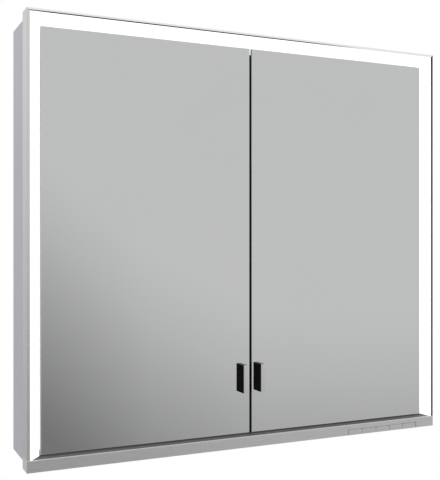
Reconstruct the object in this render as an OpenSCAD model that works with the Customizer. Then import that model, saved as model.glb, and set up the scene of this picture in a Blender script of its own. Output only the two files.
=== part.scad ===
// Two-door illuminated mirror cabinet for a bathroom wall.
// Axes: X to the right, Y into the wall, Z up. The origin is the middle of the rear face.

/* [Cabinet] */
// Overall width, outside the light frame
cabinet_w = 800; // [720:10:1000]
// Overall height, from the bottom rail to the top of the light frame
cabinet_h = 735; // [730:5:800]
// Depth from the wall to the front plane of the light frame
cabinet_d = 143; // [142:1:160]
// Step from the outside of the light frame in to the carcass, all round
carcass_inset = 5.6; // [4.4:0.1:7]
// Thickness of the carcass panels
panel_t = 10; // [9:0.5:11]

/* [Light frame] */
// Depth of the frame profiles
frame_d = 33.7; // [33:0.1:36]
// Width of the front rim
rim_w = 5; // [4:0.5:6]
// Wall thickness of the profiles
profile_t = 1.6; // [1.4:0.1:1.8]
// From the outside of the frame to the inner face of the opal lens
lens_w = 21.8; // [21.4:0.1:22]
// Thickness of the opal lens
lens_t = 1.5; // [1.2:0.1:1.8]
// Depth at which the lens over the doors ends inside the cabinet
light_shelf_d = 66; // [62:1:68]

/* [Bottom rail] */
// Height of the rail
rail_h = 19.6; // [19:0.1:22]
// Wall thickness of the rail
rail_t = 2; // [1.6:0.1:2.2]
// Number of control keys
key_count = 5; // [5:1:5]
// Distance from one key to the next
key_pitch = 31.3; // [28:0.1:33]
// Height of a key
key_h = 10; // [9:0.5:10.5]
// Gap round a key
key_gap = 0.8; // [0.4:0.1:1]
// How far a key can be pressed
key_travel = 0.8; // [0.5:0.1:1]
// From the right-hand end of the rail to the last key
key_offset = 42.2; // [30:0.1:60]

/* [Doors] */
// From the outside of the cabinet to the side and bottom edges of the doors
door_margin = 24; // [24:0.1:24.6]
// From the top of the cabinet to the top edges of the doors
door_top_margin = 24.7; // [24:0.1:25]
// Gap between the two doors
door_gap = 3.5; // [3:0.1:5]
// Setback of the door faces behind the front plane
door_setback = 10.8; // [10:0.1:12]
// Thickness of each mirror glass
glass_t = 4; // [3:0.5:4]
// Thickness of the panel between the two glasses
core_t = 10; // [9.5:0.5:11]
// Step from the edge of the front glass in to the core, at the top, the bottom and the meeting edge
core_inset = 6; // [6:0.1:8]
// Ground arris on the front edges of the mirror glass
arris = 0.8; // [0.5:0.1:1]

/* [Hinges] */
// From the outer edge of a door in to its pivot
pivot_inset = 24; // [23:1:28]
// Radius of the pivot pins
pin_r = 2.5; // [2:0.1:2.6]
// Radial running clearance of the pins in their bushes
pin_play = 0.05; // [0.02:0.01:0.1]
// Outer radius of the bushes
bush_r = 3.8; // [3.4:0.1:4]
// Length of a bush
bush_l = 14; // [12:1:18]

/* [Handles] */
// Width of a handle
handle_w = 7.6; // [5:0.1:10]
// Height of a handle
handle_h = 49.9; // [40:0.1:80]
// How far a handle stands out from the glass
handle_reach = 15.5; // [12:0.1:20]
// Thickness of the polished cap on the front of a handle
handle_cap_t = 1.2; // [1:0.1:2]
// From the middle of the cabinet to the nearer side of a handle
handle_x = 13.3; // [12:0.1:40]
// Height of the middle of a handle, from mid-height of the cabinet
handle_z = -245.5; // [-260:0.5:260]

/* [Shelves] */
// Height of the underside of the lower shelf, from mid-height of the cabinet
shelf_lower_z = -115; // [-130:5:-100]
// Height of the underside of the upper shelf, from mid-height of the cabinet
shelf_upper_z = 105; // [80:5:130]
// Thickness of the glass shelves
shelf_t = 5; // [4:0.5:6]
// Depth of the glass shelves
shelf_d = 81; // [60:1:84]
// Step from one row of peg holes to the next
peg_step = 32; // [25:1:40]
// Radius of a peg's shank
peg_r = 2.5; // [2:0.1:3]

/* [Fixings] */
// Distance between the wall screws, across
wall_spacing_x = 640; // [560:10:640]
// Distance between the wall screws, up
wall_spacing_z = 660; // [640:10:660]
// Radius of the holes for the wall screws
wall_hole_r = 4; // [3:0.5:5]
// Radius of the cable hole in the grommet
inlet_r = 5; // [4:0.5:6]

/* [Sockets] */
// Radius of the round recess that takes a plug
socket_r = 19.5; // [19:0.1:20]
// Depth of that recess
socket_depth = 17; // [15:0.5:18]
// Distance between the two contact holes
contact_pitch = 19; // [18:0.5:20]
// Radius of a contact hole
contact_r = 2.6; // [2.4:0.1:3]

/* [Hidden] */
$fn = 48;
SIDES = [-1, 1];

// Main planes
half_w = cabinet_w / 2;
half_h = cabinet_h / 2;
front_y = -cabinet_d;
frame_y = front_y + frame_d;
rail_z = -half_h + rail_h;
out_x = half_w - carcass_inset;
in_x = out_x - panel_t;
out_z = half_h - carcass_inset;
in_z = out_z - panel_t;
corner_reach = 90;
cleat_t = 2;
cleat_leg = 40;
cleat_y = [front_y + 10, front_y + 26];

// Back of the cabinet
back_t = 3;
rear_mirror_t = 4;
rear_mirror_x = in_x - 2;
rear_mirror_z = [-305, 308];
rear_y = -back_t - rear_mirror_t;
cover_y = -60;
cover_z = 312;
cover_t = 1.2;
inlet_at = [-270, 332];
grommet_neck_r = 12;
grommet_flange_r = 15;
grommet_flange_t = 1.5;
angle_leg = 28;
angle_t = 2;
angle_w = 8;
angle_y = -back_t - angle_w / 2;
angle_screw_i = 19.6;
wall_plate_w = 30;
wall_plate_t = 2;

// Driver, terminal block and leads, above the driver cover
driver_x = [-60, 120];
driver_y = [-48, -10];
driver_h = 24;
driver_tab = 12;
driver_tab_i = 8;
driver_tab_t = 3;
terminal_x = [-230, -192];
terminal_y = [-42, -18];
terminal_h = 14;
terminal_pitch = 11;
terminal_slot = [5, 6, 8];
lead_r = 3;
light_lead_r = 1.5;
light_lead_at = [20, in_z - 2.4];
lead_hole_r = light_lead_r + 0.2;

// Doors, drawn on the right and mirrored for the left
door_x = [door_gap / 2, half_w - door_margin];
door_z = [-half_h + door_margin, half_h - door_top_margin];
door_y = front_y + door_setback;
core_y = door_y + glass_t;
inner_y = core_y + core_t;
door_back_y = inner_y + glass_t;
core_meet_inset = core_inset + 1.5;
core_hinge_inset = 1;
core_x = [door_x[0] + core_meet_inset, door_x[1] - core_hinge_inset];
core_z = [door_z[0] + core_inset, door_z[1] - core_inset];
pivot = [door_x[1] - pivot_inset, core_y + core_t / 2];
play = 0.2;
seal_inset = 0.85;
seal_x = [door_x[0] + seal_inset, core_x[0]];
seal_top = door_z[1] - 10.3;
seal_y = [core_y + play, door_back_y - play];
strike_r = 6;
strike_t = 1;
strike_at = [21, core_z[0] + 8];

// Screws: one pan-head size for the cabinet and one for the handles
screw_r = 1.6;
screw_l = 8;
screw_head_r = 3;
screw_head_t = 1.8;
frame_screw_i = 12.5;
frame_screw_x = half_w - frame_screw_i;
frame_screw_z = [-300, 0, 300];
top_screw_x = [-330, 0, 330];
handle_screw_r = 2;
handle_screw_head_r = 4;
handle_screw_head_t = 2.2;
handle_screw_bite = 8;
handle_screw_rise = 15;
handle_screw_z = [handle_z - handle_screw_rise, handle_z + handle_screw_rise];
handle_mid_x = handle_x + handle_w / 2;

// Hinge brackets: a plate in the step above or below the core, a leg and a foot
bracket_t = 3;
bracket_gap = 1.4;
bracket_tip_r = 4.4;
bracket_leg_y = front_y + light_shelf_d + 2;
bracket_foot_y = bracket_leg_y + 13;
bracket_x = [pivot[0] - 40, pivot[0] - 10];
bracket_foot_t = 2;
bracket_screw_i = 8;
bracket_screw_x = [bracket_x[0] + bracket_screw_i, bracket_x[1] - bracket_screw_i];
bracket_screw_y = bracket_leg_y + bracket_screw_i;
pin_end = bush_l - 2;

// Shelves
shelf_levels = [shelf_lower_z, shelf_upper_z];
shelf_gap = 5;
shelf_x = in_x - 2.4;
shelf_y = [rear_y - shelf_gap - shelf_d, rear_y - shelf_gap];
peg_hole_d = 8;
peg_head_r = 4.5;
peg_head_l = 10;
peg_i = 14;
peg_y = [shelf_y[0] + peg_i, shelf_y[1] - peg_i];
peg_shank_play = 0.05;

// Lights
board_t = 1.6;
board_w = 6;
board_i = 3;
chip = 3.5;
chip_h = 0.8;
chip_pitch = 30;
flange_y = frame_y - profile_t;
inner_board_w = 12;
inner_board_y = front_y + 44;

// Bottom rail, keys and their circuit board
key_x0 = half_w - key_offset - key_count * key_pitch;
key_top = -half_h + key_h;
rail_gap_d = 7;
trim_t = 1.2;
key_cap_t = 2.4;
key_plate_y = front_y + rail_t + 0.1;
key_plate_t = 2.4;
key_stem_d = 7.5;
key_board_y = front_y + 12;
key_frame = 2.5;
key_plate_rise = 3;
key_stem_w = 6;
key_stem_h = 4;
key_switch_w = 6;
key_switch_t = 2;
key_plunger_r = 1.6;
key_switch_z = -half_h + 6.5;
ledge_x = half_w - rim_w;
ledge_top = door_z[0] - 0.8;
ledge_y = [front_y + rail_t, door_y - 1.3, door_back_y - 0.3, frame_y - rail_t];

// Catches, bumpers and sockets
catch_x = [12, 30];
catch_z = rail_z + 16;
bumper_w = 14;
bumper_t = 4;
bumper_at = [60, 250];
socket_w = 36;
socket_y = [-72, -12];
socket_h = 56;
socket_mid = [(socket_y[0] + socket_y[1]) / 2, -in_z + socket_h / 2];
earth_w = 4;
earth_t = 1.5;

// A box given by its limits along each axis
module block(x, y, z) {
    translate([x[0], y[0], z[0]]) cube([x[1] - x[0], y[1] - y[0], z[1] - z[0]]);
}

// An outline of [x, z] points carried along Y
module along_y(points, y) {
    translate([0, y[1], 0]) rotate([90, 0, 0]) linear_extrude(y[1] - y[0]) polygon(points);
}

// An outline of [y, z] points carried along X
module along_x(points, x) {
    translate([x[0], 0, 0]) rotate([90, 0, 90]) linear_extrude(x[1] - x[0]) polygon(points);
}

// A cylinder along Y, from y[0] to y[1]
module rod_y(r, at, y) {
    translate([at[0], y[1], at[1]]) rotate([90, 0, 0]) cylinder(h = y[1] - y[0], r = r);
}

// A cylinder along X, from x[0] to x[1]
module rod_x(r, at, x) {
    translate([x[0], at[0], at[1]]) rotate([0, 90, 0]) cylinder(h = x[1] - x[0], r = r);
}

// Children as drawn on the right, or mirrored for the left
module on_side(side) {
    if (side > 0) children();
    if (side < 0) mirror([1, 0, 0]) children();
}

// Children as drawn at the top, or mirrored for the bottom about mid-height of the doors
module at_end(end) {
    if (end > 0) children();
    if (end < 0) translate([0, 0, core_z[0] + core_z[1]]) mirror([0, 0, 1]) children();
}

// A pan-head screw whose head sits on the plane z = 0 and whose shank points down
module pan_screw() {
    cylinder(h = screw_head_t, r = screw_head_r);
    translate([0, 0, -screw_l]) cylinder(h = screw_l + 0.1, r = screw_r);
}

// ---- Carcass ----

module side_panel(side) {
    color([0.68, 0.69, 0.73]) on_side(side) difference() {
        block([in_x, out_x], [frame_y, 0], [-out_z, out_z]);
        for (level = shelf_levels, row = [-1, 0, 1], y = peg_y)
            rod_x(peg_r, [y, level - peg_head_r + row * peg_step], [in_x - 1, in_x + peg_hole_d]);
        for (end = SIDES)
            rod_x(screw_r, [angle_y, end * (in_z - angle_screw_i)], [in_x - 1, in_x + screw_l]);
        for (z = frame_screw_z)
            rod_y(screw_r, [frame_screw_x, z], [frame_y - 1, frame_y + screw_l]);
    }
}

module top_panel() {
    color([0.68, 0.69, 0.73]) difference() {
        block([-in_x, in_x], [frame_y, 0], [in_z, out_z]);
        for (x = top_screw_x)
            rod_y(screw_r, [x, half_h - frame_screw_i], [frame_y - 1, frame_y + screw_l]);
        horizontal_panel_holes(1);
    }
}

module bottom_panel() {
    color([0.68, 0.69, 0.73]) difference() {
        block([-in_x, in_x], [frame_y, 0], [-out_z, -in_z]);
        horizontal_panel_holes(-1);
    }
}

// Screw holes in the top (end 1) or bottom (end -1) panel
module horizontal_panel_holes(end) {
    for (side = SIDES) {
        hole_z(side * (in_x - angle_screw_i), angle_y, end);
        for (x = bracket_screw_x) hole_z(side * x, bracket_screw_y, end);
    }
}

module hole_z(x, y, end) {
    translate([x, y, end > 0 ? in_z - 1 : -in_z - screw_l]) cylinder(h = screw_l + 1, r = screw_r);
}

module back_panel() {
    color([0.72, 0.73, 0.75]) difference() {
        block([-in_x, in_x], [-back_t, 0], [-in_z, in_z]);
        wall_holes(-back_t - 1);
        rod_y(grommet_neck_r, inlet_at, [-back_t - 1, 1]);
    }
}

// The four holes for the wall screws, from the given depth to past the rear face
module wall_holes(y0) {
    for (x = SIDES, z = SIDES)
        rod_y(wall_hole_r, [x * wall_spacing_x / 2, z * wall_spacing_z / 2], [y0, 1]);
}

module wall_plates() {
    plate_x = wall_spacing_x / 2;
    plate_z = wall_spacing_z / 2;
    color([0.6, 0.6, 0.62]) difference() {
        for (x = SIDES, z = SIDES)
            translate([x * plate_x, -back_t - wall_plate_t / 2, z * plate_z])
                cube([wall_plate_w, wall_plate_t, wall_plate_w], center = true);
        wall_holes(-back_t - wall_plate_t - 1);
    }
}

module rear_mirror() {
    color([0.8, 0.82, 0.83])
        block([-rear_mirror_x, rear_mirror_x], [rear_y, -back_t], rear_mirror_z);
}

module corner_angles() {
    color([0.7, 0.7, 0.72]) for (side = SIDES, end = SIDES) on_side(side) difference() {
        along_y([for (p = [[0, 0], [angle_leg, 0], [angle_leg, angle_t], [angle_t, angle_t],
            [angle_t, angle_leg], [0, angle_leg]]) [in_x - p[0], end * (in_z - p[1])]],
            [-back_t - angle_w, -back_t]);
        rod_x(screw_r, [angle_y, end * (in_z - angle_screw_i)], [in_x - 3, in_x + 1]);
        translate([in_x - angle_screw_i, angle_y, end * in_z])
            cylinder(h = 6, r = screw_r, center = true);
    }
}

// ---- Light frame ----

// Points given as [inset from the outside, depth from the front plane]
function side_points(points) = [for (p = points) [half_w - p[0], front_y + p[1]]];
function top_points(points) = [for (p = points) [front_y + p[1], half_h - p[0]]];

// Channel section: rim in front, outside wall, and a flange on the carcass that ends at flange_i
function channel(flange_i) = [[0, 0], [rim_w, 0], [rim_w, profile_t], [profile_t, profile_t],
    [profile_t, frame_d - profile_t], [flange_i, frame_d - profile_t], [flange_i, frame_d],
    [0, frame_d]];

// The front of the opal lens, from its inner corner out to its tongue behind the rim
function lens_front() = [[lens_w - lens_t, door_setback], [rim_w + lens_t, profile_t + lens_t],
    [profile_t, profile_t + lens_t], [profile_t, profile_t], [rim_w, profile_t], [rim_w, 0.3],
    [lens_w, door_setback - 0.8]];

// Keeps the part of a right-hand upright that lies below its mitre
module mitred_upright() {
    intersection() {
        children();
        along_y([[half_w, -half_h], [half_w, half_h], [half_w - corner_reach, half_h - corner_reach],
            [half_w - corner_reach, -half_h]], [front_y - 1, 1]);
    }
}

// Keeps the part of a top member that lies above its mitres
module mitred_top() {
    reach = half_w - corner_reach;
    intersection() {
        children();
        along_y([[-half_w, half_h], [half_w, half_h], [reach, half_h - corner_reach],
            [-reach, half_h - corner_reach]], [front_y - 1, 1]);
    }
}

module frame_side(side) {
    color([0.82, 0.82, 0.81]) on_side(side) difference() {
        mitred_upright() translate([0, 0, rail_z]) linear_extrude(half_h - rail_z)
            polygon(side_points(channel(lens_w)));
        for (z = frame_screw_z)
            rod_y(screw_r, [frame_screw_x, z], [flange_y - 1, frame_y + 1]);
    }
}

module frame_top() {
    color([0.82, 0.82, 0.81]) difference() {
        mitred_top()
            along_x(top_points(channel(carcass_inset + panel_t)), [-half_w, half_w]);
        for (x = top_screw_x)
            rod_y(screw_r, [x, half_h - frame_screw_i], [flange_y - 1, frame_y + 1]);
    }
}

// Pressed angles inside the mitred corners of the frame
module corner_cleats() {
    o = profile_t;
    color([0.7, 0.7, 0.72]) for (side = SIDES) on_side(side)
        along_y([for (p = [[o, o], [cleat_leg, o], [cleat_leg, o + cleat_t],
            [o + cleat_t, o + cleat_t], [o + cleat_t, cleat_leg], [o, cleat_leg]])
            [half_w - p[0], half_h - p[1]]], cleat_y);
}

// Upright lens, whose lower end is cut to stand on the sloping ledge strip
module lens_side(side) {
    color([0.98, 0.98, 0.98]) on_side(side) difference() {
        mitred_upright() translate([0, 0, rail_z]) linear_extrude(half_h - rail_z)
            polygon(side_points(concat(lens_front(), [[lens_w, frame_d - profile_t],
                [lens_w - lens_t, frame_d - profile_t]])));
        along_x([[ledge_y[0], rail_z - 1], [ledge_y[0], rail_z], [ledge_y[1], ledge_top],
            [ledge_y[2], ledge_top], [ledge_y[2], rail_z - 1]], [half_w - corner_reach, ledge_x]);
    }
}

module lens_top() {
    lip = carcass_inset + panel_t;
    color([0.98, 0.98, 0.98]) difference() {
        mitred_top() along_x(top_points(concat(lens_front(), [[lens_w, light_shelf_d],
            [lip, light_shelf_d], [lip, light_shelf_d - lens_t],
            [lens_w - lens_t, light_shelf_d - lens_t]])), [-half_w, half_w]);
        rod_y(lead_hole_r, light_lead_at, [front_y + light_shelf_d - 3, front_y + light_shelf_d + 1]);
    }
}

// A strip of circuit board along Z with a chip every chip_pitch, chips towards -Y
module light_strip(l, w) {
    translate([-w / 2, 0, 0]) cube([w, board_t, l]);
    n = floor(l / chip_pitch);
    for (k = [0 : n - 1])
        translate([-chip / 2, -chip_h, (k + 0.5) * l / n - chip / 2]) cube([chip, chip_h + 0.1, chip]);
}

module light_boards_side() {
    color([0.92, 0.93, 0.9]) for (side = SIDES)
        translate([side * (half_w - board_i - board_w / 2), flange_y - board_t, rail_z + 2])
            light_strip(half_h - rail_z - 2 - lens_w, board_w);
}

module light_board_top() {
    l = cabinet_w - 2 * lens_w;
    color([0.92, 0.93, 0.9])
        translate([-l / 2, flange_y - board_t, half_h - board_i - board_w / 2])
            rotate([0, 90, 0]) light_strip(l, board_w);
}

module light_board_inner() {
    l = 2 * in_x - 20;
    color([0.92, 0.93, 0.9])
        translate([-l / 2, inner_board_y, in_z - board_t]) rotate([90, 0, 90])
            light_strip(l, inner_board_w);
}

// ---- Electrical parts ----

module driver_cover() {
    color([0.85, 0.85, 0.86]) difference() {
        along_x([[cover_y, in_z], [cover_y, cover_z], [-back_t, cover_z], [-back_t, cover_z + cover_t],
            [cover_y + cover_t, cover_z + cover_t], [cover_y + cover_t, in_z]], [-in_x, in_x]);
        rod_y(lead_hole_r, light_lead_at, [cover_y - 1, cover_y + cover_t + 1]);
    }
}

module light_driver() {
    color([0.9, 0.9, 0.9]) {
        block(driver_x, driver_y, [in_z - driver_h, in_z]);
        block([driver_x[0] - driver_tab, driver_x[1] + driver_tab],
            [driver_y[0] + driver_tab_i, driver_y[1] - driver_tab_i], [in_z - driver_tab_t, in_z]);
    }
}

module terminal_block() {
    color([0.93, 0.93, 0.9]) difference() {
        block(terminal_x, terminal_y, [in_z - terminal_h, in_z]);
        for (k = [0 : 2])
            translate([terminal_x[0] + terminal_slot[0] + k * terminal_pitch, 0, 0])
                block([0, terminal_slot[2]], [terminal_y[0] + terminal_slot[1],
                    terminal_y[1] - terminal_slot[1]], [in_z - terminal_h - 1, in_z - terminal_h + 5]);
    }
}

module supply_lead() {
    color([0.2, 0.2, 0.2])
        rod_x(lead_r, [(terminal_y[0] + terminal_y[1]) / 2, in_z - terminal_h / 2],
            [terminal_x[1], driver_x[0]]);
}

module light_lead() {
    color([0.2, 0.2, 0.2])
        rod_y(light_lead_r, light_lead_at, [inner_board_y + inner_board_w / 2, driver_y[0]]);
}

module cable_grommet() {
    color([0.1, 0.1, 0.1]) difference() {
        union() {
            rod_y(grommet_neck_r, inlet_at, [-back_t, 0]);
            rod_y(grommet_flange_r, inlet_at, [-back_t - grommet_flange_t, -back_t]);
        }
        rod_y(inlet_r, inlet_at, [-back_t - grommet_flange_t - 1, 1]);
    }
}

module socket(side) {
    face_x = in_x - socket_w;
    insert_x = face_x + socket_depth + play;
    color([0.95, 0.95, 0.94]) on_side(side) {
        difference() {
            block([face_x, face_x + socket_depth], socket_y, [-in_z, -in_z + socket_h]);
            rod_x(socket_r, socket_mid, [face_x - 1, face_x + socket_depth + 1]);
            for (k = SIDES)
                block([face_x - 1, face_x + socket_depth + 1],
                    [socket_mid[0] - earth_w / 2, socket_mid[0] + earth_w / 2],
                    [socket_mid[1] + k * socket_r - earth_t, socket_mid[1] + k * socket_r + earth_t]);
        }
        difference() {
            block([insert_x, in_x], socket_y, [-in_z, -in_z + socket_h]);
            for (k = SIDES)
                rod_x(contact_r, [socket_mid[0] + k * contact_pitch / 2, socket_mid[1]],
                    [insert_x - 1, in_x + 1]);
        }
    }
}

// ---- Shelves ----

module shelf(level) {
    color([0.75, 0.85, 0.83, 0.6]) block([-shelf_x, shelf_x], shelf_y, [level, level + shelf_t]);
}

module shelf_pegs() {
    color([0.8, 0.8, 0.8]) for (side = SIDES, level = shelf_levels, y = peg_y) on_side(side) {
        rod_x(peg_r - peg_shank_play, [y, level - peg_head_r], [in_x - 1, in_x + peg_hole_d - 0.5]);
        rod_x(peg_head_r, [y, level - peg_head_r], [in_x - peg_head_l, in_x]);
    }
}

// ---- Hinges ----

module hinge_brackets() {
    color([0.62, 0.62, 0.64]) for (side = SIDES, end = SIDES)
        on_side(side) at_end(end) hinge_bracket(leg_h(end));
}

// The right-hand top bracket, whose leg ends leg_h above the core; at_end() turns it for the bottom
module hinge_bracket(leg_h) {
    z0 = core_z[1] + bracket_gap;
    top = core_z[1] + leg_h;
    difference() {
        union() {
            translate([pivot[0], pivot[1], z0]) cylinder(h = bracket_t, r = bracket_tip_r);
            translate([0, 0, z0]) linear_extrude(bracket_t) polygon([
                [pivot[0] + bracket_tip_r, pivot[1]], [bracket_x[1], bracket_leg_y + bracket_t],
                [bracket_x[0], bracket_leg_y + bracket_t], [bracket_x[0], bracket_leg_y - 6],
                [pivot[0] - bracket_tip_r, pivot[1]]]);
            block(bracket_x, [bracket_leg_y, bracket_leg_y + bracket_t], [z0, top]);
            block(bracket_x, [bracket_leg_y, bracket_foot_y], [top - bracket_foot_t, top]);
        }
        translate([pivot[0], pivot[1], z0 - 1]) cylinder(h = bracket_t + 2, r = pin_r);
        for (x = bracket_screw_x)
            translate([x, bracket_screw_y, top - 3]) cylinder(h = 4, r = screw_r);
    }
}

// From the end of the core to the carcass panel that the bracket is screwed to
function leg_h(end) = end > 0 ? in_z - core_z[1] : in_z + core_z[0];

module hinge_pins() {
    color([0.75, 0.75, 0.77]) for (side = SIDES, end = SIDES) on_side(side) at_end(end)
        translate([pivot[0], pivot[1], core_z[1]]) {
            translate([0, 0, -pin_end]) cylinder(h = pin_end + bracket_gap + bracket_t, r = pin_r);
            translate([0, 0, 0.1]) cylinder(h = bracket_gap - 0.1, r = bracket_tip_r - 0.4);
        }
}

// Screws of the hinge brackets, the corner angles and the light frame, all of one size
module cabinet_screws() {
    color([0.78, 0.78, 0.8]) {
        for (side = SIDES) {
            for (end = SIDES) {
                for (x = bracket_screw_x)
                    translate([side * x, bracket_screw_y, end * (in_z - bracket_foot_t)])
                        rotate([end > 0 ? 180 : 0, 0, 0]) pan_screw();
                translate([side * (in_x - angle_screw_i), angle_y, end * (in_z - angle_t)])
                    rotate([end > 0 ? 180 : 0, 0, 0]) pan_screw();
                translate([side * (in_x - angle_t), angle_y, end * (in_z - angle_screw_i)])
                    rotate([0, -side * 90, 0]) pan_screw();
            }
            for (z = frame_screw_z)
                translate([side * frame_screw_x, flange_y, z]) rotate([90, 0, 0]) pan_screw();
        }
        for (x = top_screw_x)
            translate([x, flange_y, half_h - frame_screw_i]) rotate([90, 0, 0]) pan_screw();
    }
}

// ---- Bottom rail and keys ----

module bottom_rail() {
    y = [front_y, frame_y];
    color([0.74, 0.74, 0.73]) difference() {
        block([-half_w, half_w], y, [-half_h, rail_z]);
        block([-half_w + rail_t, half_w - rail_t], [y[0] + rail_t, y[1] - rail_t],
            [-half_h + rail_t, rail_z - trim_t - rail_t]);
        block([-ledge_x, ledge_x], [y[0] + rail_t, y[1] - rail_t], [rail_z - trim_t, rail_z + 1]);
        block([key_x0 - key_gap / 2, key_x0 + key_count * key_pitch + key_gap / 2],
            [y[0] - 1, y[0] + rail_gap_d], [-half_h - 1, key_top + key_gap]);
    }
}

// Strip let into the rail: it slopes up from the front edge to just below the doors
module ledge_trim() {
    bed = rail_z - trim_t;
    color([0.3, 0.3, 0.31]) along_x([[ledge_y[0], bed], [ledge_y[0], rail_z],
        [ledge_y[1], ledge_top], [ledge_y[2], ledge_top], [ledge_y[2], rail_z],
        [ledge_y[3], rail_z], [ledge_y[3], bed]], [-ledge_x, ledge_x]);
}

module key(n) {
    x = key_x0 + (n - 1) * key_pitch;
    mid = x + key_pitch / 2;
    color([0.76, 0.76, 0.75]) {
        block([x + key_gap / 2, x + key_pitch - key_gap / 2], [front_y, front_y + key_cap_t],
            [-half_h, key_top]);
        block([x + key_frame, x + key_pitch - key_frame], [key_plate_y, key_plate_y + key_plate_t],
            [-half_h + rail_t + 0.3, key_top + key_plate_rise]);
        block([mid - key_stem_w / 2, mid + key_stem_w / 2], [key_plate_y, front_y + key_stem_d],
            [key_switch_z - key_stem_h / 2, key_switch_z + key_stem_h / 2]);
    }
}

module key_board() {
    color([0.2, 0.4, 0.3]) {
        block([key_x0 - 4, key_x0 + key_count * key_pitch + 4], [key_board_y, key_board_y + board_t],
            [-half_h + rail_t, rail_z - trim_t - rail_t]);
        for (k = [0 : key_count - 1]) {
            mid = key_x0 + (k + 0.5) * key_pitch;
            block([mid - key_switch_w / 2, mid + key_switch_w / 2],
                [key_board_y - key_switch_t, key_board_y + 0.1],
                [key_switch_z - key_switch_w / 2, key_switch_z + key_switch_w / 2]);
            rod_y(key_plunger_r, [mid, key_switch_z],
                [front_y + key_stem_d + key_travel + play, key_board_y]);
        }
    }
}

module door_catches() {
    color([0.88, 0.88, 0.87]) for (side = SIDES) on_side(side) {
        block(catch_x, [frame_y + 1, frame_y + 16], [-in_z, catch_z]);
        block(catch_x, [door_back_y + strike_t + play, frame_y + 2], [rail_z + 1, catch_z]);
    }
}

module door_bumpers() {
    color([0.12, 0.12, 0.12]) for (side = SIDES, x = bumper_at) on_side(side)
        block([x - bumper_w / 2, x + bumper_w / 2],
            [door_back_y + play, door_back_y + play + bumper_t - 1], [rail_z, core_z[0] + 6]);
}

// ---- Doors ----

module door_mirror(side) {
    color([0.78, 0.79, 0.79]) on_side(side) difference() {
        translate([0, 0, door_z[0]]) linear_extrude(door_z[1] - door_z[0]) polygon([
            [door_x[0], core_y], [door_x[1], core_y], [door_x[1], door_y + arris],
            [door_x[1] - arris, door_y], [door_x[0] + arris, door_y], [door_x[0], door_y + arris]]);
        for (z = handle_screw_z)
            rod_y(handle_screw_r + 0.5, [handle_mid_x, z], [door_y - 1, core_y + 1]);
    }
}

module door_core(side) {
    color([0.8, 0.8, 0.79]) on_side(side) difference() {
        block(core_x, [core_y, inner_y], core_z);
        for (end = SIDES) at_end(end)
            translate([pivot[0], pivot[1], core_z[1] - bush_l]) cylinder(h = bush_l + 1, r = bush_r);
        for (z = handle_screw_z) {
            rod_y(handle_screw_r, [handle_mid_x, z], [core_y - 1, inner_y + 1]);
            rod_y(handle_screw_head_r + 0.2, [handle_mid_x, z],
                [inner_y - handle_screw_head_t, inner_y + 1]);
        }
    }
}

module door_inner_mirror(side) {
    color([0.78, 0.79, 0.79]) on_side(side) block(core_x, [inner_y, door_back_y], core_z);
}

module door_bushes(side) {
    color([0.75, 0.62, 0.35]) on_side(side) for (end = SIDES) at_end(end)
        translate([pivot[0], pivot[1], core_z[1] - bush_l]) difference() {
            cylinder(h = bush_l, r = bush_r);
            translate([0, 0, -1]) cylinder(h = bush_l + 2, r = pin_r + pin_play);
        }
}

module door_seal(side) {
    color([0.05, 0.05, 0.05]) on_side(side) block(seal_x, seal_y, [core_z[0], seal_top]);
}

module door_strike(side) {
    color([0.7, 0.7, 0.72]) on_side(side)
        rod_y(strike_r, strike_at, [door_back_y, door_back_y + strike_t]);
}

module handle(side) {
    color([0.03, 0.03, 0.03]) on_side(side) difference() {
        block([handle_x, handle_x + handle_w], [door_y - handle_reach + handle_cap_t, door_y],
            [handle_z - handle_h / 2, handle_z + handle_h / 2]);
        for (z = handle_screw_z)
            rod_y(handle_screw_r, [handle_mid_x, z], [door_y - handle_screw_bite, door_y + 1]);
    }
}

module handle_cap(side) {
    color([0.75, 0.75, 0.75]) on_side(side) block([handle_x, handle_x + handle_w],
        [door_y - handle_reach, door_y - handle_reach + handle_cap_t],
        [handle_z - handle_h / 2, handle_z + handle_h / 2]);
}

module handle_screws(side) {
    color([0.7, 0.7, 0.72]) on_side(side) for (z = handle_screw_z) {
        rod_y(handle_screw_r, [handle_mid_x, z], [door_y - handle_screw_bite, inner_y]);
        rod_y(handle_screw_head_r, [handle_mid_x, z], [inner_y - handle_screw_head_t, inner_y]);
    }
}

side_panel(-1);  // side_panel_left
side_panel(1);  // side_panel_right
top_panel();
bottom_panel();
back_panel();
rear_mirror();
corner_angles();
wall_plates();
frame_side(-1);  // frame_left
frame_side(1);  // frame_right
frame_top();
corner_cleats();
bottom_rail();
ledge_trim();
lens_side(-1);  // lens_left
lens_side(1);  // lens_right
lens_top();
light_boards_side();
light_board_top();
light_board_inner();
driver_cover();
light_driver();
terminal_block();
supply_lead();
light_lead();
cable_grommet();
socket(-1);  // socket_left
socket(1);  // socket_right
shelf(shelf_levels[1]);  // shelf_upper
shelf(shelf_levels[0]);  // shelf_lower
shelf_pegs();
hinge_brackets();
hinge_pins();
cabinet_screws();
door_catches();
door_bumpers();
key_board();
key(1);  // key_1
key(2);  // key_2
key(3);  // key_3
key(4);  // key_4
key(5);  // key_5
door_mirror(-1);  // left_door_mirror
door_core(-1);  // left_door_core
door_inner_mirror(-1);  // left_door_inner_mirror
door_bushes(-1);  // left_door_bushes
door_seal(-1);  // left_door_seal
door_strike(-1);  // left_door_strike
handle(-1);  // left_handle
handle_cap(-1);  // left_handle_cap
handle_screws(-1);  // left_handle_screws
door_mirror(1);  // right_door_mirror
door_core(1);  // right_door_core
door_inner_mirror(1);  // right_door_inner_mirror
door_bushes(1);  // right_door_bushes
door_seal(1);  // right_door_seal
door_strike(1);  // right_door_strike
handle(1);  // right_handle
handle_cap(1);  // right_handle_cap
handle_screws(1);  // right_handle_screws
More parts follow.
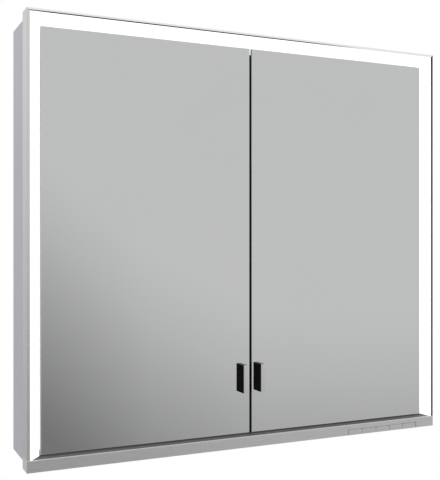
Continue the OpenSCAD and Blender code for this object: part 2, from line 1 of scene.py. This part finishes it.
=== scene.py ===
import math
import bmesh
import bpy
from mathutils import Matrix, Vector


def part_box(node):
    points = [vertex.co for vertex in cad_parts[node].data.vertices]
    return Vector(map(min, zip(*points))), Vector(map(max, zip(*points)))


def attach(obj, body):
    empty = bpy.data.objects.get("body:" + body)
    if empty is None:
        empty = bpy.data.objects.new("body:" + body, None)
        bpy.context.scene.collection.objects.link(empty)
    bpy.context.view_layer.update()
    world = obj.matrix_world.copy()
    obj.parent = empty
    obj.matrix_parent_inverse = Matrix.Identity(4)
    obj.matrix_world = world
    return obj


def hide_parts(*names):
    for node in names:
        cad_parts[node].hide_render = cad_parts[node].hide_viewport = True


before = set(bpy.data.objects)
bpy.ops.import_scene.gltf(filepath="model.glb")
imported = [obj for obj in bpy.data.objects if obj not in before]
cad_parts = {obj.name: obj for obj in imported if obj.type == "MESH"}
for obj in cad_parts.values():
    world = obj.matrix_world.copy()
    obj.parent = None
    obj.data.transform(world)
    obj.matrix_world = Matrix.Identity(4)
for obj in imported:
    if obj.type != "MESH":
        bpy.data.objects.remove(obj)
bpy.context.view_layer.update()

scene = bpy.context.scene

# ---- Camera, floor and light ----
# The cabinet hangs free over a pale floor. One wide soft light stands on the left and one is
# overhead; the room around is a grey that falls off low down in front, as in a studio.

front_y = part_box("bottom_rail")[0].y
eye_left = 0.259
eye_front = 1.2885
eye = bpy.data.objects.new("camera", bpy.data.cameras.new("camera"))
scene.collection.objects.link(eye)
eye.location = (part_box("bottom_rail")[0].x - eye_left, front_y - eye_front, 0)
eye.rotation_euler = (math.radians(90), 0, math.radians(-24.74))
eye.data.lens = 60.945
eye.data.sensor_width = 36
eye.data.shift_y = 0.0007
scene.camera = eye
scene.view_settings.view_transform = "Standard"


class Wire:
    """A node socket that takes part in plain sums: each sum adds its Math node."""

    def __init__(self, finish, socket):
        self.finish = finish
        self.socket = socket

    def maths(self, operation, *values):
        return self.finish.maths(operation, *values)

    def __add__(self, other):
        return self.maths("ADD", self, other)

    def __radd__(self, other):
        return self.maths("ADD", other, self)

    def __sub__(self, other):
        return self.maths("SUBTRACT", self, other)

    def __rsub__(self, other):
        return self.maths("SUBTRACT", other, self)

    def __mul__(self, other):
        return self.maths("MULTIPLY", self, other)

    def __rmul__(self, other):
        return self.maths("MULTIPLY", other, self)

    def __truediv__(self, other):
        return self.maths("DIVIDE", self, other)

    def __gt__(self, other):
        return self.maths("GREATER_THAN", self, other)

    def __lt__(self, other):
        return self.maths("LESS_THAN", self, other)


class Finish:
    """The node tree of a material or of the world, with one method that adds any node."""

    def __init__(self, tree):
        self.tree = tree
        tree.nodes.clear()

    def node(self, kind, settings=None, inputs=None, output=0):
        made = self.tree.nodes.new(kind)
        for name, value in (settings or {}).items():
            if name == "stops":
                self.set_stops(made.color_ramp, value)
            else:
                setattr(made, name, value)
        for name, value in (inputs or {}).items():
            self.feed(made.inputs[name], value)
        return Wire(self, made.outputs[output]) if made.outputs else made

    def set_stops(self, ramp, stops):
        while len(ramp.elements) < len(stops):
            ramp.elements.new(0.5)
        for element, (place, colour) in zip(ramp.elements, stops):
            element.position = place
            element.color = colour if len(colour) == 4 else (*colour, 1)

    def feed(self, socket, value):
        if isinstance(value, Wire):
            self.tree.links.new(value.socket, socket)
        elif socket.type == "RGBA" and len(value) == 3:
            socket.default_value = (*value, 1)
        else:
            socket.default_value = value

    def maths(self, operation, *values):
        return self.node("ShaderNodeMath", {"operation": operation}, dict(enumerate(values)))

    def place(self):
        """Position on the piece, in metres."""
        return self.node("ShaderNodeTexCoord", output="Object")

    def split(self, vector):
        first = self.node("ShaderNodeSeparateXYZ", inputs={0: vector})
        return [Wire(self, output) for output in first.socket.node.outputs]

    def noise(self, scale, detail=3.0, stretch=(1, 1, 1), rough=0.5):
        where = self.node("ShaderNodeMapping", inputs={"Vector": self.place(), "Scale": stretch})
        settings = {"Vector": where, "Scale": scale, "Detail": detail, "Roughness": rough}
        return self.node("ShaderNodeTexNoise", inputs=settings)

    def blend(self, share, a, b):
        """Colour a where share is 0 and b where it is 1."""
        return self.node("ShaderNodeMix", {"data_type": "RGBA"}, {0: share, 6: a, 7: b}, output=2)

    def ramp(self, value, stops):
        return self.node("ShaderNodeValToRGB", {"stops": stops}, {0: value})

    def bump(self, height, depth, strength=1.0):
        settings = {"Height": height, "Distance": depth, "Strength": strength}
        return self.node("ShaderNodeBump", inputs=settings)


def material(name):
    """A new material, as its tree, with nothing in it."""
    made = bpy.data.materials.new(name)
    made.use_nodes = True
    finish = Finish(made.node_tree)
    finish.material = made
    return finish


def surface(finish, **sockets):
    """Ends a tree in one Principled shader; underscores in a socket's name stand for spaces."""
    inputs = {name.replace("_", " "): value for name, value in sockets.items()}
    shader = finish.node("ShaderNodeBsdfPrincipled", inputs=inputs)
    finish.node("ShaderNodeOutputMaterial", inputs={"Surface": shader})
    return finish.material


room = bpy.data.worlds.new("room")
room.use_nodes = True
scene.world = room
sky = Finish(room.node_tree)
across, into, up = sky.split(sky.node("ShaderNodeTexCoord", output="Generated"))
degree = 57.3
knee = 20.0
bearing = sky.maths("ARCTAN2", across, 0 - into) * degree
near = sky.maths("MINIMUM", sky.maths("MAXIMUM", bearing, 10.0), knee)
far = sky.maths("MINIMUM", sky.maths("MAXIMUM", bearing, knee), 28.0)
rise = sky.maths("ARCSINE", up) * degree
slope = rise + 0.9 * (near - knee) + 0.5 * (far - knee)
room_greys = [(-20, 0.17), (-18, 0.20), (-12, 0.32), (-6, 0.445), (-3, 0.49), (-1, 0.51), (0, 0.51)]
lowest = 20
mirror_share = 0.915
front_stops = [((degrees + lowest) / lowest, [grey / mirror_share] * 3) for degrees, grey in room_greys]
front_grey = sky.ramp((slope + lowest) / lowest, front_stops)
rear_stops = [(0.0, [0.36] * 3), (0.35, [0.46] * 3), (0.65, [0.80] * 3), (1.0, [0.95] * 3)]
rear_grey = sky.ramp((rise + 40) / 80, rear_stops)
is_behind = sky.node("ShaderNodeMapRange", inputs={"Value": into, "From Min": 0.05, "From Max": 0.3})
lit_grey = sky.blend(is_behind, front_grey, rear_grey)
seen = sky.node("ShaderNodeLightPath", output="Is Camera Ray")
tone = sky.blend(seen, lit_grey, (1.0, 1.0, 1.0))
backdrop = sky.node("ShaderNodeBackground", inputs={"Color": tone, "Strength": 1.0})
sky.node("ShaderNodeOutputWorld", inputs={"Surface": backdrop})

floor_z = -1.25
floor_half = 1.5
floor_mesh = bpy.data.meshes.new("floor")
floor_mesh.from_pydata([(-floor_half, -floor_half, floor_z), (floor_half, -floor_half, floor_z),
                        (floor_half, floor_half, floor_z), (-floor_half, floor_half, floor_z)],
                       [], [(0, 1, 2, 3)])
floor = bpy.data.objects.new("floor", floor_mesh)
scene.collection.objects.link(floor)
paint = material("pale_floor")
floor_mesh.materials.append(surface(
    paint, Base_Color=paint.ramp(paint.noise(6), [(0.3, (0.80, 0.80, 0.79)), (0.7, (0.84, 0.84, 0.83))]),
    Roughness=0.7))


def soft_light(name, at, towards, size, watts):
    """A square area light at a point, turned towards another."""
    data = bpy.data.lights.new(name, "AREA")
    data.size = size
    data.energy = watts
    light = bpy.data.objects.new(name, data)
    scene.collection.objects.link(light)
    light.location = at
    light.rotation_euler = (Vector(towards) - Vector(at)).to_track_quat("-Z", "Y").to_euler()


soft_light("light_left", (-2.6, 0.2, 1.7), (-0.4, 0, 0.3), 1.6, 19)
soft_light("light_top", (-0.4, -1.2, 2.8), (0, 0, 0), 1.8, 18)


# ---- Carcass ----
# Four panels of powder-coated aluminium, cool grey, joined by small steel angles in the rear
# corners. Their edges are slightly eased so that the coating holds.

def cad(node, made):
    """The CAD node keeps its shape and takes a finish."""
    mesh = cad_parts[node].data
    mesh.materials.clear()
    mesh.materials.append(made)


def merged(node):
    """The triangles of a CAD node as one joined mesh, with its flat faces whole."""
    shape = bmesh.new()
    shape.from_mesh(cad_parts[node].data)
    bmesh.ops.remove_doubles(shape, verts=shape.verts, dist=1e-6)
    bmesh.ops.dissolve_limit(shape, angle_limit=math.radians(1), verts=shape.verts, edges=shape.edges)
    return shape


def fit(piece, body, slot, made, *nodes):
    """Finishes a piece: its material and the body it moves with, and hides the CAD nodes it stands for; slot
    is not used.
    """
    piece.data.materials.clear()
    piece.data.materials.append(made)
    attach(piece, body)
    if nodes:
        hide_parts(*nodes)
    return piece


def plain(piece):
    """Turns a piece's modifiers into plain mesh."""
    bpy.context.view_layer.update()
    result = bpy.data.meshes.new_from_object(piece.evaluated_get(bpy.context.evaluated_depsgraph_get()))
    piece.modifiers.clear()
    piece.data = result
    return piece


def eased(node, width, segments=2):
    """A copy of a CAD node whose sharp edges are rounded off by width."""
    mesh = bpy.data.meshes.new(node + "_eased")
    shape = merged(node)
    shape.to_mesh(mesh)
    shape.free()
    piece = bpy.data.objects.new(node + "_eased", mesh)
    scene.collection.objects.link(piece)
    for face in mesh.polygons:
        face.use_smooth = True
    rounding = piece.modifiers.new("rounding", "BEVEL")
    rounding.width = width
    rounding.segments = segments
    rounding.limit_method = "ANGLE"
    rounding.angle_limit = math.radians(35)
    rounding.use_clamp_overlap = True
    flats = piece.modifiers.new("flats", "WEIGHTED_NORMAL")
    flats.weight = 100
    return plain(piece)


copier = bpy.data.node_groups.new("copies_on_points", "GeometryNodeTree")
for label, way, kind in (("Geometry", "INPUT", "Geometry"), ("Copy", "INPUT", "Object"),
                         ("Finish", "INPUT", "Material"), ("Geometry", "OUTPUT", "Geometry")):
    copier.interface.new_socket(name=label, in_out=way, socket_type="NodeSocket" + kind)
given = copier.nodes.new("NodeGroupInput")
turn = copier.nodes.new("GeometryNodeInputNamedAttribute")
turn.data_type = "FLOAT_VECTOR"
turn.inputs["Name"].default_value = "turn"
to_rotation = copier.nodes.new("FunctionNodeEulerToRotation")
copied = copier.nodes.new("GeometryNodeObjectInfo")
spread = copier.nodes.new("GeometryNodeInstanceOnPoints")
real = copier.nodes.new("GeometryNodeRealizeInstances")
coated = copier.nodes.new("GeometryNodeSetMaterial")
result = copier.nodes.new("NodeGroupOutput")
for source, end, aim, start in ((given, "Geometry", spread, "Points"), (given, "Copy", copied, "Object"),
                                (copied, "Geometry", spread, "Instance"),
                                (turn, "Attribute", to_rotation, "Euler"),
                                (to_rotation, "Rotation", spread, "Rotation"),
                                (spread, "Instances", real, "Geometry"),
                                (real, "Geometry", coated, "Geometry"),
                                (given, "Finish", coated, "Material"),
                                (coated, "Geometry", result, "Geometry")):
    copier.links.new(source.outputs[end], aim.inputs[start])


def copies(name, shape, spots, made):
    """One mesh with a copy of shape at each spot, given as (place, rotation)."""
    points = bpy.data.meshes.new(name)
    points.from_pydata([place for place, turned in spots], [], [])
    turns = points.attributes.new("turn", "FLOAT_VECTOR", "POINT")
    for k, (place, turned) in enumerate(spots):
        turns.data[k].vector = turned.to_euler()
    piece = bpy.data.objects.new(name, points)
    scene.collection.objects.link(piece)
    pattern = bpy.data.objects.new(name + "_pattern", shape)
    spreading = piece.modifiers.new("copies", "NODES")
    spreading.node_group = copier
    for socket in copier.interface.items_tree:
        if socket.in_out == "INPUT" and socket.name != "Geometry":
            spreading[socket.identifier] = pattern if socket.name == "Copy" else made
    plain(piece)
    bpy.data.objects.remove(pattern)
    return piece


def rings_mesh(name, rings, smooth=True):
    """A closed shape through rings of equal numbers of points, capped at both ends."""
    mesh = bpy.data.meshes.new(name)
    n = len(rings[0])
    faces = [tuple(reversed(range(n))), tuple(range((len(rings) - 1) * n, len(rings) * n))]
    for k in range(len(rings) - 1):
        for j in range(n):
            a, b = k * n + j, k * n + (j + 1) % n
            faces.append((a, b, b + n, a + n))
    mesh.from_pydata([point for ring in rings for point in ring], [], faces)
    for face in mesh.polygons:
        face.use_smooth = smooth and face.index > 1
    return mesh


def circle(r, z, n=16):
    return [(r * math.cos(math.tau * k / n), r * math.sin(math.tau * k / n), z) for k in range(n)]


def cross(reach, half, z):
    """Sixteen points round a plus sign."""
    arm = [(reach, 0), (reach, half), (half, half), (half, reach)]
    points = []
    for quarter in range(4):
        c, t = round(math.cos(quarter * math.pi / 2)), round(math.sin(quarter * math.pi / 2))
        points += [(c * x - t * y, t * x + c * y, z) for x, y in arm]
    return points


def islands(node):
    """The separate solids of a CAD node, as lists of points."""
    shape = merged(node)
    left = set(shape.verts)
    found = []
    while left:
        todo = [left.pop()]
        group = []
        while todo:
            vert = todo.pop()
            group.append(vert.co.copy())
            for edge in vert.link_edges:
                other = edge.other_vert(vert)
                if other in left:
                    left.remove(other)
                    todo.append(other)
        found.append(group)
    shape.free()
    return sorted(found, key=lambda group: tuple(round(c, 4) for c in sum(group, Vector()) / len(group)))


def powder_coat(name, colour, shade):
    """Fine orange-peel texture with a faint drift in colour."""
    coat = material(name)
    drift = coat.noise(9, 2)
    peel = coat.noise(1400, 2)
    surface(coat, Base_Color=coat.ramp(drift, [(0.3, shade), (0.7, colour)]),
            Roughness=0.42 + 0.1 * peel, Normal=coat.bump(peel, 0.00006), Specular_IOR_Level=0.4)
    return coat.material


panel_grey = powder_coat("carcass_coat", (0.55, 0.56, 0.61), (0.525, 0.535, 0.585))
for node in ("side_panel_left", "side_panel_right", "top_panel", "bottom_panel"):
    fit(eased(node, 0.0006), "cabinet", "carcass_paint", panel_grey, node)


def zinc_plate(name, colour):
    """Bright zinc plating: faint crystals and a little unevenness in gloss."""
    zinc = material(name)
    crystal = {"Vector": zinc.place(), "Scale": 700.0}
    light = zinc.split(zinc.node("ShaderNodeTexVoronoi", inputs=crystal, output="Color"))[0]
    surface(zinc, Base_Color=zinc.ramp(light, [(0.0, tuple(c * 0.9 for c in colour)), (1.0, colour)]),
            Metallic=1.0, Roughness=0.24 + 0.14 * light, Normal=zinc.bump(zinc.noise(900), 0.00002))
    return zinc.material


plated = zinc_plate("zinc_plate", (0.70, 0.70, 0.72))
for node in ("corner_angles", "wall_plates"):
    fit(eased(node, 0.0003), "cabinet", "bright_steel", plated, node)


# ---- Back ----
# A light grey back sheet with the wall screw holes and the cable inlet, and a mirror bonded to its
# inside. The grommet is soft black rubber.

sheet_grey = powder_coat("back_coat", (0.66, 0.665, 0.68), (0.63, 0.635, 0.65))
cad("back_panel", sheet_grey)

silver = material("silvered_glass")
smear = silver.noise(14, 4)
silver_stops = [(0.3, (0.905, 0.915, 0.912)), (0.7, (0.915, 0.925, 0.922))]
surface(silver, Base_Color=silver.ramp(silver.noise(5), silver_stops), Metallic=1.0,
        Roughness=0.004 + 0.006 * smear)
cad("rear_mirror", silver.material)

rubber_look = material("black_rubber")
bloom = rubber_look.noise(120, 4)
rubber_stops = [(0.3, (0.016, 0.016, 0.017)), (0.7, (0.03, 0.03, 0.031))]
surface(rubber_look, Base_Color=rubber_look.ramp(bloom, rubber_stops),
        Roughness=0.62 + 0.2 * bloom, Normal=rubber_look.bump(rubber_look.noise(1600), 0.00004))
rubber_black = rubber_look.material
fit(eased("cable_grommet", 0.0005), "cabinet", "rubber", rubber_black, "cable_grommet")


# ---- Light frame ----
# Three aluminium profiles, mitred at the top corners over pressed cleats. They are brushed along
# their length and satin anodised; their front faces carry painted light and a painted line of shade and
# reflection.

frame_lo, frame_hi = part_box("frame_top")
hair_scale = 2600
hair_stretch = 0.012


def frame_metal(name, along, across, inner, stops, painted_glow_stops, mirror=0.3, painted_sheen=0.03):
    """Satin anodised profile whose front face is painted a lighter, lit tone than its sides, with a painted
    line of shade and reflection on its front face, from inner to the lens.

    The first ramp of stops gives that painted line's greys and the second its painted glow along the profile;
    mirror is how metallic the front face is, and the sheen value is painted light, a faint glow over the rest
    of the front face.
    """
    metal = material(name)
    stretch = [1.0, 1.0, 1.0]
    stretch[along] = hair_stretch
    hair = metal.noise(hair_scale, 2, stretch)
    place = metal.split(metal.place())
    is_front = place[1] < front_y + 0.0002
    is_inner = place[across] < inner if inner > 0 else place[across] > inner
    reach = frame_hi.x if along == 0 else frame_hi.z
    share = (place[along] + reach) / (2 * reach)
    # Painted shade and reflection: the inner strip of the front face takes greys along the profile for the
    # shade under the rim and the lit lens it would reflect.
    painted_line_tone = metal.ramp(share, stops)
    satin = metal.ramp(hair, [(0.35, (0.69, 0.69, 0.68)), (0.65, (0.75, 0.75, 0.745))])
    # Painted lit tone: the front face is painted lighter than the satin sides, as if lit from the front.
    painted_lit_front = metal.ramp(hair, [(0.35, (0.90, 0.90, 0.89)), (0.65, (0.96, 0.96, 0.955))])
    edge = is_front * is_inner
    colour = metal.blend(edge, metal.blend(is_front, satin, painted_lit_front), painted_line_tone)
    # Painted light: a faint glow over the rest of the front face, and a painted glow on the inner line where
    # it would reflect the lit lens.
    painted_front_glow = metal.blend(is_front * (1 - edge), (0, 0, 0), (painted_sheen, painted_sheen, 0.98 * painted_sheen))
    lit = metal.ramp(share, painted_glow_stops)
    surface(metal, Base_Color=colour, Metallic=0.85 - (0.85 - mirror) * is_front,
            Emission_Color=metal.blend(edge, painted_front_glow, lit), Emission_Strength=1.0,
            Roughness=0.3 - 0.1 * mirror * is_front + 0.12 * hair, Normal=metal.bump(hair, 0.000012))
    return metal.material


def greys(*pairs):
    """Ramp stops from pairs of place and grey."""
    return [(place, (tone, tone, tone * 0.99)) for place, tone in pairs]


# The painted line is light along the left profile and dark along the right; on the top it is dark at the left
# and turns light with a painted glow at the right, and the top's front face has a stronger painted glow.
left_metal = frame_metal("frame_left_metal", 2, 0, frame_lo.x + 0.0026, greys((0, 0.9), (1, 0.9)),
                         greys((0, 0.0), (1, 0.12)), 0.85)
right_metal = frame_metal("frame_right_metal", 2, 0, frame_hi.x - 0.0006,
                          greys((0, 0.20), (0.5, 0.16), (0.9, 0.12), (1, 0.02)), greys((0, 0), (1, 0)))
top_metal = frame_metal("frame_top_metal", 0, 2, frame_hi.z - 0.0031,
                        greys((0.02, 0.3), (0.05, 0.03), (0.11, 0.03), (0.5, 0.08), (0.7, 0.25),
                              (0.8, 0.9)),
                        greys((0.65, 0), (0.8, 0.35)), painted_sheen=0.28)
for node, metal in (("frame_left", left_metal), ("frame_right", right_metal), ("frame_top", top_metal)):
    fit(eased(node, 0.0002), "cabinet", "frame_aluminium", metal, node)
cad("corner_cleats", plated)


# ---- Opal lenses ----
# Extruded opal plastic, lit evenly from behind. The front faces slope from the rim back to the
# doors, and the upper one runs on inside as the cabinet's own light.

opal = material("lit_opal")
even = opal.noise(40, 1)
surface(opal, Base_Color=opal.ramp(even, [(0.2, (0.60, 0.60, 0.59)), (0.8, (0.64, 0.64, 0.63))]),
        Emission_Color=opal.ramp(even, [(0.2, (0.98, 0.985, 1.0)), (0.8, (1.0, 1.0, 1.0))]),
        Emission_Strength=1.0, Roughness=0.35)
for node in ("lens_left", "lens_right", "lens_top"):
    cad(node, opal.material)


# ---- Light strips ----
# White circuit boards behind the lenses, glued to the frame. Each carries a row of small chips with
# a round window of yellow phosphor.

def face_spots(node, facing, area):
    """The middle of every flat face of a CAD node that looks one way and has a given area."""
    shape = merged(node)
    found = [face.calc_center_median() for face in shape.faces
             if face.normal.dot(facing) > 0.99 and abs(face.calc_area() - area) < 0.1 * area]
    shape.free()
    return sorted(found, key=lambda p: tuple(round(c, 4) for c in p))


strip = material("light_strip")
grain = strip.noise(800, 2)
surface(strip, Base_Color=strip.ramp(grain, [(0.3, (0.84, 0.85, 0.81)), (0.7, (0.90, 0.91, 0.88))]),
        Roughness=0.4 + 0.15 * grain)
phosphor = material("phosphor")
grain = phosphor.noise(2500, 2)
surface(phosphor, Base_Color=phosphor.ramp(grain, [(0.3, (0.86, 0.66, 0.10)), (0.7, (0.95, 0.80, 0.22))]),
        Emission_Color=phosphor.ramp(grain, [(0.3, (0.95, 0.88, 0.62)), (0.7, (1.0, 0.96, 0.78))]),
        Emission_Strength=0.6, Roughness=0.5)
chip = 0.0035
window = rings_mesh("chip_window", [circle(0.4 * chip, -0.0001, 12), circle(0.4 * chip, 0.0001, 12),
                                    circle(0.0011, 0.0002, 12)])
for node, facing in (("light_boards_side", Vector((0, -1, 0))), ("light_board_top", Vector((0, -1, 0))),
                     ("light_board_inner", Vector((0, 0, -1)))):
    cad(node, strip.material)
    windows = [(spot, facing.to_track_quat("Z", "Y")) for spot in face_spots(node, facing, chip ** 2)]
    fit(copies(node + "_windows", window, windows, phosphor.material), "cabinet", "opal", phosphor.material)


# ---- Electrical parts ----
# A folded sheet cover hides the driver and the terminal block above the upper compartment. The two
# white moulded sockets sit in the lower corners, with turned brass contacts deep inside.

fit(eased("driver_cover", 0.0003), "cabinet", "cover_metal", sheet_grey, "driver_cover")


def moulded(name, colour, rough=0.38):
    """Moulded plastic with a fine spark-eroded grain."""
    plastic = material(name)
    grain = plastic.noise(2200, 3)
    drift = plastic.noise(20, 2)
    dark = tuple(c * 0.95 for c in colour)
    surface(plastic, Base_Color=plastic.ramp(drift, [(0.3, dark), (0.7, colour)]),
            Roughness=rough + 0.14 * grain, Normal=plastic.bump(grain, 0.00002))
    return plastic.material


white_moulding = moulded("white_moulding", (0.86, 0.86, 0.85))
for node, width in (("light_driver", 0.0008), ("terminal_block", 0.0004),
                    ("socket_left", 0.001), ("socket_right", 0.001)):
    fit(eased(node, width), "cabinet", "white_plastic", white_moulding, node)
for node in ("supply_lead", "light_lead"):
    cad(node, rubber_black)

brass = material("turned_brass")
turning = brass.noise(1200, 2, (1, 1, 6))
surface(brass, Base_Color=brass.ramp(turning, [(0.3, (0.62, 0.47, 0.22)), (0.7, (0.72, 0.56, 0.28))]),
        Metallic=1.0, Roughness=0.25 + 0.15 * turning)

slot_half = 0.0003
slotted = rings_mesh("slotted_head", [
    circle(0.0026, 0), circle(0.0026, 0.0012), circle(0.0022, 0.0016),
    [(x, max(-slot_half, min(slot_half, y)), 0.0016) for x, y, z in circle(0.0021, 0)],
    [(x, max(-slot_half, min(slot_half, y)), 0.0009) for x, y, z in circle(0.0020, 0)]])
down = Vector((0, 0, -1)).to_track_quat("Z", "Y")
clamp_face = 0.008 * 0.012
clamps = [(spot, down @ Matrix.Rotation(0.9 * k, 3, "Z").to_quaternion())
          for k, spot in enumerate(face_spots("terminal_block", Vector((0, 0, -1)), clamp_face))]
fit(copies("terminal_screws", slotted, clamps, brass.material), "cabinet", "bush", brass.material)

sleeve = rings_mesh("contact_sleeve", [circle(0.0024, -0.004), circle(0.0024, 0), circle(0.0019, 0),
                                       circle(0.0019, -0.0035)])
contact_half = 0.0095
contact_depth = 0.018
sleeves = []
for side, inward in (("left", 1), ("right", -1)):
    lo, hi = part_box("socket_" + side)
    middle = (lo + hi) / 2
    mouth = hi.x if inward > 0 else lo.x
    facing = Vector((inward, 0, 0)).to_track_quat("Z", "Y")
    for y in (middle.y - contact_half, middle.y + contact_half):
        sleeves.append((Vector((mouth - inward * contact_depth, y, middle.z)), facing))
fit(copies("contact_sleeves", sleeve, sleeves, brass.material), "cabinet", "bush", brass.material)


# ---- Shelves ----
# Two shelves of clear float glass with polished edges. Each lies loose on four plated pegs pushed
# into the side panels.

clear = material("shelf_glass")
clear_stops = [(0.3, (0.90, 0.96, 0.945)), (0.7, (0.92, 0.975, 0.96))]
surface(clear, Base_Color=clear.ramp(clear.noise(3), clear_stops),
        Transmission_Weight=0.95, Roughness=0.01 + 0.02 * clear.noise(30), IOR=1.5)
for node in ("shelf_upper", "shelf_lower"):
    fit(eased(node, 0.0006), "cabinet", "clear_glass", clear.material, node)
cad("shelf_pegs", plated)


# ---- Hinges and screws ----
# Steel pivot brackets with turned pins. Twenty-five zinc-plated pan-head screws with a cross
# recess, all of one size, hold the brackets, the corner angles and the light frame.

fit(eased("hinge_brackets", 0.0003), "cabinet", "bright_steel", plated, "hinge_brackets")
cad("hinge_pins", plated)

head_r, head_t, shank_r, shank_l = 0.003, 0.0018, 0.0016, 0.008
screw = rings_mesh("pan_head", [
    circle(shank_r, -shank_l), circle(shank_r, 0), circle(head_r, 0), circle(head_r, 0.5 * head_t),
    circle(0.86 * head_r, 0.85 * head_t), circle(0.6 * head_r, head_t), cross(0.0014, 0.00035, head_t),
    cross(0.0009, 0.00022, 0.35 * head_t)])


def span(group):
    """The lowest and highest corner of a group of points."""
    return [Vector([pick(p[i] for p in group) for i in range(3)]) for pick in (min, max)]


spots = []
for k, group in enumerate(islands("cabinet_screws")):
    lo, hi = span(group)
    axis = max(range(3), key=lambda i: hi[i] - lo[i])
    middle = (lo + hi) / 2
    sideways = [i for i in range(3) if i != axis]
    ends = [p[axis] for p in group if max(abs(p[i] - middle[i]) for i in sideways) > 0.9 * head_r]
    outward = Vector((0, 0, 0))
    outward[axis] = 1 if sum(ends) / len(ends) > middle[axis] else -1
    seat = middle.copy()
    seat[axis] = (hi if outward[axis] > 0 else lo)[axis] - outward[axis] * head_t
    turned = Matrix.Rotation(0.7 * k, 3, "Z").to_quaternion()
    spots.append((seat, outward.to_track_quat("Z", "Y") @ turned))
fit(copies("cabinet_screws_cross", screw, spots, plated), "cabinet", "bright_steel", plated, "cabinet_screws")


# ---- Bottom rail and keys ----
# A heavy brushed profile across the whole width, with a dark strip let into its ledge and five
# push keys of the same metal cut out of its lower front edge. Its upper front arris carries a
# painted highlight, and the top of the ledge strip is painted darker as shade under the doors.

rail = material("rail_metal")
rail_lo, rail_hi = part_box("bottom_rail")
hair = rail.noise(hair_scale, 2, (hair_stretch, 1, 1))
x, y, z = rail.split(rail.place())
# Painted highlight: the upper front arris is painted lighter and given a faint glow.
is_arris = (z > (rail_hi.z - 0.0013)) * (y < (rail_lo.y + 0.0022))
satin_stops = [(0.35, (0.88, 0.88, 0.87)), (0.65, (0.96, 0.96, 0.955))]
satin = rail.ramp(0.8 * hair + 0.2 * rail.noise(7, 2), satin_stops)
surface(rail, Base_Color=rail.blend(is_arris, satin, (0.97, 0.97, 0.96)), Metallic=0.85 - 0.2 * is_arris,
        Emission_Color=rail.blend(is_arris, (0, 0, 0), (0.06, 0.06, 0.06)), Emission_Strength=1.0,
        Roughness=0.24 + 0.12 * hair, Normal=rail.bump(hair, 0.00002))
rail_metal = rail.material
fit(eased("bottom_rail", 0.0003), "cabinet", "rail_aluminium", rail_metal, "bottom_rail")
ledge = material("ledge_strip")
grain = ledge.noise(2200, 3)
x, y, z = ledge.split(ledge.place())
# Painted shade: the top of the strip, just under the doors, is painted darker.
painted_shade_lip = z > (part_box("ledge_trim")[1].z - 0.0014)
slope_grey = ledge.ramp(ledge.noise(20, 2), [(0.3, (0.13, 0.13, 0.128)), (0.7, (0.14, 0.14, 0.138))])
surface(ledge, Base_Color=ledge.blend(painted_shade_lip, slope_grey, (0.06, 0.06, 0.06)),
        Roughness=0.45 + 0.14 * grain, Normal=ledge.bump(grain, 0.00002))
cad("ledge_trim", ledge.material)
for number in range(1, 6):
    node = f"key_{number}"
    fit(eased(node, 0.0002), node, "rail_aluminium", rail_metal, node)
cad("key_board", moulded("solder_mask", (0.05, 0.20, 0.12), 0.3))


# ---- Doors ----
# Each door is two silvered glasses bonded to a rigid core. The front glass has a ground arris and
# stands past the core; a rubber seal closes the step at the meeting edge.

def door_glass(name, face_y):
    """Silver on the front face, a satin ground arris, and the dark green edge of float glass."""
    glass = material(name)
    x, y, z = glass.split(glass.place())
    skin = 0.00002
    arris_w = 0.0008
    is_edge = y > (face_y + arris_w - skin)
    is_arris = (y > (face_y + skin)) * (1 - is_edge)
    face = glass.ramp(glass.noise(5), [(0.3, (0.905, 0.915, 0.912)), (0.7, (0.915, 0.925, 0.922))])
    shiny = 0.003 + 0.006 * glass.noise(14, 4)
    tint = glass.blend(is_edge, glass.blend(is_arris, face, (0.40, 0.42, 0.41)), (0.012, 0.02, 0.018))
    surface(glass, Base_Color=tint, Metallic=1 - is_edge,
            Roughness=shiny * (1 - is_arris) + 0.3 * is_arris + 0.2 * is_edge)
    return glass.material


core_look = powder_coat("core_foil", (0.70, 0.70, 0.69), (0.66, 0.66, 0.65))
for side in ("left", "right"):
    body = side + "_door"
    cad(body + "_mirror", door_glass(body + "_glass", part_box(body + "_mirror")[0].y))
    cad(body + "_inner_mirror", silver.material)
    cad(body + "_core", core_look)
    cad(body + "_bushes", brass.material)
    fit(eased(body + "_seal", 0.0006), body, "rubber", rubber_black, body + "_seal")
    cad(body + "_strike", plated)
fit(eased("door_catches", 0.0006), "cabinet", "white_plastic", white_moulding, "door_catches")
magnet = rings_mesh("magnet_face", [[(x * w, y * h, z) for x, y in ((-1, -1), (1, -1), (1, 1), (-1, 1))]
                                    for w, h, z in ((0.0065, 0.0035, -0.0004), (0.0065, 0.0035, 0.0001),
                                                    (0.0062, 0.0032, 0.00015))], smooth=False)
magnet_drop = 0.006
forward = Vector((0, -1, 0)).to_track_quat("Z", "Y")
poles = []
for group in islands("door_catches"):
    lo, hi = span(group)
    poles.append((Vector(((lo.x + hi.x) / 2, lo.y, hi.z - magnet_drop)), forward))
fit(copies("catch_magnets", magnet, poles, plated), "cabinet", "bright_steel", plated)
fit(eased("door_bumpers", 0.0006), "cabinet", "rubber", rubber_black, "door_bumpers")


# ---- Handles ----
# A gloss black tab on each door near the meeting edge, capped in front with polished metal and
# held by two screws from inside the door.

lacquer = material("black_lacquer")
dust = lacquer.noise(60, 4)
surface(lacquer, Base_Color=lacquer.ramp(dust, [(0.3, (0.002, 0.002, 0.002)), (0.7, (0.005, 0.005, 0.005))]),
        Roughness=0.08 + 0.06 * dust, Specular_IOR_Level=0.03)
polish = material("polished_cap")
wipe = polish.noise(300, 2, (1, 1, 0.05))
surface(polish, Base_Color=polish.ramp(wipe, [(0.3, (0.86, 0.865, 0.865)), (0.7, (0.89, 0.895, 0.895))]),
        Metallic=1.0, Roughness=0.02 + 0.03 * wipe)
for side in ("left", "right"):
    body = side + "_door"
    tab = side + "_handle"
    fit(eased(tab, 0.0004), body, "black_plastic", lacquer.material, tab)
    fit(eased(tab + "_cap", 0.0003), body, "polished_metal", polish.material, tab + "_cap")
    cad(tab + "_screws", plated)
